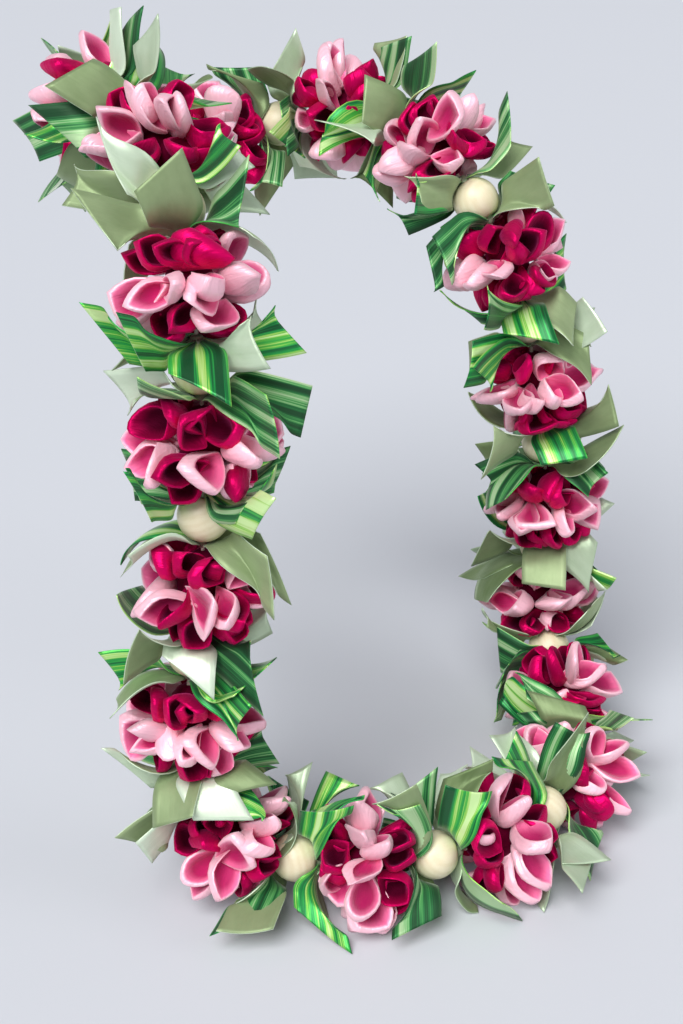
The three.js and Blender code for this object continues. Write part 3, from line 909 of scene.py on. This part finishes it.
class Leaf:
    """A strip of ribbon in its gap's frame, which turns over, twists and has a slanted end."""

    def __init__(self, unit, end, place, seed, added):
        turn, turn_over = leaf_turns(unit, end, place, seed, added)
        radial = Vector((math.cos(turn), math.sin(turn), 0))
        self.around = Vector((-math.sin(turn), math.cos(turn), 0))
        self.cordwise = Vector((0, 0, end))
        sway = self.around * end * between(seed + 3, *LEAF_DRAW["sway"])
        heading = radial * math.cos(turn_over) + self.cordwise * math.sin(turn_over) + sway
        length = between(seed + 1, LEAF_SHORTEST, LEAF_LONGEST)
        self.root = radial * LEAF_ROOT_RADIUS + self.cordwise * SLEEVE_LEAF_PLACE
        self.bend = self.root + radial * length * LEAF_WAY_OUT
        self.tip = self.bend + heading.normalized() * length * LEAF_WAY_ON
        untwisted = smooth_step(LEAF_UNTWIST * abs(turn_over) - LEAF_KEPT_TWIST)
        self.twist = end * LEAF_TWIST * (1 - untwisted)
        self.slant = between(seed + 13, *LEAF_DRAW["slant"])
        self.slant_side = -1 if draw(seed + 4) < 0.5 else 1
        self.cup = between(seed + 5, *LEAF_DRAW["cup"]) * LEAF_WIDTH
        self.curl = between(seed + 6, *LEAF_DRAW["curl"]) * length
        self.wave = between(seed + 7, *LEAF_DRAW["wave"])
        self.flip = -1 if draw(seed + 8) < SHARE_FLIPPED else 1
        self.shade = draw(seed + 9)
        self.pattern_shift = Vector((10 * draw(seed + 10), 10 * draw(seed + 11)))

    def crown(self, edge, share):
        """How far the ribbon stands off: hollow across, curled along, waved, and pleated."""
        spread = smooth_step(share / LEAF_FULL_WIDTH)
        off = self.cup * (1 - edge * edge) * spread + self.curl * share**3
        off += LEAF_WAVE * math.sin(LEAF_WAVES * share + self.wave) * edge
        pleats = smooth_step(share / LEAF_PLEATS_START) * (1 - smooth_step(share / LEAF_PLEATS_END))
        return off + LEAF_PLEAT * math.cos(2 * math.pi * edge) * pleats

    def point_at(self, edge, share):
        """The point at a place across the strip, from -1 to 1, and a share of its length."""
        turned = self.twist * smooth_step(share * LEAF_TWIST_PACE)
        across = self.around * math.cos(turned) + self.cordwise * math.sin(turned)
        spread = smooth_step(share / LEAF_FULL_WIDTH)
        half_width = (LEAF_ROOT_WIDTH * (1 - spread) + LEAF_WIDTH * spread) / 2
        reached = share * (1 - self.slant * share * (edge * self.slant_side + 1) / 2)
        point = bezier(self.root, self.bend, self.tip, reached)
        onward = bezier(self.root, self.bend, self.tip, reached + 0.02) - point
        face_out = across.cross(onward.normalized()).normalized()
        return point + across * edge * half_width + face_out * self.crown(edge, share)


def add_leaf(bm, unit, leaf):
    """Lays a grid of ribbon along a leaf, clear of what is round it."""
    tone = bm.verts.layers.float["tone"]
    uv = bm.loops.layers.uv["ribbon"]
    made = bmesh.ops.create_grid(
        bm, x_segments=LEAF_STEPS_ACROSS, y_segments=LEAF_STEPS_ALONG, size=1.0, calc_uvs=True
    )
    for face in {face for vert in made["verts"] for face in vert.link_faces}:
        for loop in face.loops:
            loop[uv].uv += leaf.pattern_shift
    for vert in made["verts"]:
        share = (vert.co.y + 1) / 2
        point = GAPS[unit] @ leaf.point_at(leaf.flip * vert.co.x, share)
        vert.co = bend_clear(point, unit, share) if share > 0 else point
        vert[tone] = leaf.shade


def new_leaves():
    """An empty bmesh with all that a leaf's mesh carries."""
    bm = bmesh.new()
    bm.verts.layers.float.new("tone")
    bm.loops.layers.uv.new("ribbon")
    return bm


def add_sleeve(bm, unit):
    """The ribbon gathered through the bead's hole and round the cord, in small pleats."""
    made = bmesh.ops.create_cone(
        bm, cap_ends=False, segments=SLEEVE_SIDES, radius1=1, radius2=1, depth=2, calc_uvs=True
    )
    rims = [edge for edge in bm.edges if edge.is_boundary]
    closed = bmesh.ops.extrude_edge_only(bm, edges=rims)
    ends = [item for item in closed["geom"] if isinstance(item, bmesh.types.BMVert)]
    bmesh.ops.scale(bm, verts=ends, vec=(0.3, 0.3, 1.04))
    put_in_order(bm)
    for vert in made["verts"] + ends:
        turn = math.atan2(vert.co.y, vert.co.x)
        across = SLEEVE_RADIUS * (1 + SLEEVE_PLEAT_DEPTH * math.cos(SLEEVE_PLEATS * turn))
        place = Vector((vert.co.x * across, vert.co.y * across, vert.co.z * SLEEVE_HALF_LENGTH))
        vert.co = GAPS[unit] @ place


def make_leaves(unit):
    """Plain and striped leaves of both ruffs of one bead, each in a piece of their own."""
    number = "%02d" % (unit + 1)
    pieces = {True: new_leaves(), False: new_leaves()}
    add_sleeve(pieces[False], unit)
    for end, count in LEAVES_IN_RUFF.items():
        for i in range(LEAVES_PER_PLACE * count):
            which = i % LEAVES_PER_PLACE
            seed = unit * 1000 + (507 if end > 0 else 7) + i // LEAVES_PER_PLACE * 10 + which * 200
            leaf = Leaf(unit, end, i / LEAVES_PER_PLACE, seed, which > 0)
            add_leaf(pieces[draw(seed + 12) < SHARE_STRIPED], unit, leaf)
    for is_striped, materials, name in (
        (False, [LEAF_SAGE, LEAF_OLIVE], "sage"),
        (True, [LEAF_STRIPED, LEAF_STRIPED_BACK], "striped"),
    ):
        name = "leaves_%s_%s" % (name, number)
        piece = finish_piece(pieces[is_striped], name, materials, ["leaves_" + number])
        subdivide(piece, 1, keep_corners=True)
        wall = piece.modifiers.new("ribbon", "SOLIDIFY")
        wall.thickness = LEAF_THICKNESS
        wall.offset = 0
        wall.material_offset = 1


# --- beads and cord -----------------------------------------------------------------------


def bead_section():
    """Half section of the bead: bore, rounded edge, ball, and back to the bore."""
    end = math.acos((BEAD_BORE_RADIUS + BEAD_EDGE) / BEAD_RADIUS)
    turns = [end * (2 * i / BEAD_ARC_STEPS - 1) for i in range(BEAD_ARC_STEPS + 1)]
    arc = [Vector((math.cos(turn), 0, math.sin(turn))) * BEAD_RADIUS for turn in turns]
    mouth = arc[-1].z - BEAD_EDGE * 0.3
    return [Vector((BEAD_BORE_RADIUS, 0, -mouth)), *arc, Vector((BEAD_BORE_RADIUS, 0, mouth))]


def make_bead(unit):
    """A turned bead round its gap's cord, with the grain of its wood in a direction of its own."""
    bm = bmesh.new()
    grain = bm.verts.layers.float_vector.new("grain")
    add_spun(bm, bead_section(), BEAD_SIDES, closed=True)
    turned = Quaternion((1, 0.3, 0), between(unit + 900, 0, 3.1))
    offset = Vector((between(unit + 920, 0.01, 0.05), between(unit + 940, 0.01, 0.05), 0))
    for vert in bm.verts:
        vert[grain] = turned @ vert.co + offset
        vert.co = GAPS[unit] @ vert.co
    name = "bead_%02d" % (unit + 1)
    finish_piece(bm, "turned_" + name, [BEAD_WOOD], [name])


def make_cord():
    """Three strands laid round each other along the whole loop."""
    curve = bpy.data.curves.new("cord_strands", "CURVE")
    curve.dimensions = "3D"
    curve.bevel_depth = STRAND_RADIUS
    curve.bevel_resolution = 1
    turns = round(LOOP_LENGTH / STRAND_PITCH)
    steps = turns * STRAND_STEPS
    for strand in range(STRANDS):
        spline = curve.splines.new("POLY")
        spline.points.add(steps - 1)
        spline.use_cyclic_u = True
        for i in range(steps):
            place = frame_at(LOOP_LENGTH * i / steps, CORD_HALF_STEP)
            turn = 2 * math.pi * (turns * i / steps + strand / STRANDS)
            offset = Vector((math.cos(turn), math.sin(turn), 0)) * STRAND_RADIUS * STRAND_LAY
            spline.points[i].co = (*(place @ offset), 1)
    source = bpy.data.objects.new("cord_strands", curve)
    bpy.context.scene.collection.objects.link(source)
    bpy.context.view_layer.update()
    made = source.evaluated_get(bpy.context.evaluated_depsgraph_get())
    bm = bmesh.new()
    bm.from_mesh(made.to_mesh())
    bpy.data.objects.remove(source)
    finish_piece(bm, "cord_twisted", [CORD_FIBRE], ["cord"])


for unit in range(UNITS):
    make_bloom(unit)
    make_leaves(unit)
    make_bead(unit)
make_cord()

# --- stage --------------------------------------------------------------------------------


def make_camera():
    """The camera, which looks down at the lei from in front and from its wearer's right."""
    data = bpy.data.cameras.new("camera")
    data.sensor_width = CAMERA_SENSOR
    data.lens = CAMERA_LENS
    data.clip_start = 0.01
    data.clip_end = 100.0
    camera = bpy.data.objects.new("camera", data)
    bpy.context.scene.collection.objects.link(camera)
    level = CAMERA_HEADING.normalized() * math.cos(CAMERA_PITCH)
    direction = level - Vector((0, 0, math.sin(CAMERA_PITCH)))
    camera.rotation_mode = "QUATERNION"
    camera.rotation_quaternion = direction.to_track_quat("-Z", "Y")
    camera.location = CAMERA_PLACE
    bpy.context.scene.camera = camera


def make_floor():
    """A wide sheet of pale paper."""
    bm = bmesh.new()
    bmesh.ops.create_grid(bm, x_segments=1, y_segments=1, size=FLOOR_HALF_SIZE)
    bmesh.ops.translate(bm, verts=bm.verts, vec=(0, 0, SURFACE - FLOOR_DROP))
    mesh = bpy.data.meshes.new("floor")
    bm.to_mesh(mesh)
    bm.free()
    shader = Shader("paper_pale")
    shader.set(base_color=(0.58, 0.60, 0.635, 1), roughness=0.8)
    mesh.materials.append(shader.material)
    floor = bpy.data.objects.new("floor", mesh)
    bpy.context.scene.collection.objects.link(floor)


def add_light(name, kind, place, size, power):
    """A soft light: size is an area light's diameter, or the angle that a sun fills."""
    data = bpy.data.lights.new(name, kind)
    data.energy = power
    if kind == "SUN":
        data.angle = size
    else:
        data.shape = "DISK"
        data.size = size
    light = bpy.data.objects.new(name, data)
    bpy.context.scene.collection.objects.link(light)
    light.location = place
    light.rotation_mode = "QUATERNION"
    light.rotation_quaternion = (LIT_PLACE - Vector(place)).to_track_quat("-Z", "Y")


def make_light():
    """Soft light from above on the camera's left, a weak one from its right, and a pale room."""
    world = bpy.data.worlds.new("studio")
    world.use_nodes = True
    background = world.node_tree.nodes["Background"]
    background.inputs["Color"].default_value = (0.80, 0.82, 0.92, 1)
    background.inputs["Strength"].default_value = 0.39
    bpy.context.scene.world = world
    add_light("key", "SUN", (-2.6, -1.0, 3.2), 0.7, 3.4)
    add_light("fill", "AREA", (1.8, -3.6, 1.6), 2.4, 30.0)
    bpy.context.scene.view_settings.view_transform = "Standard"


make_camera()
make_floor()
make_light()
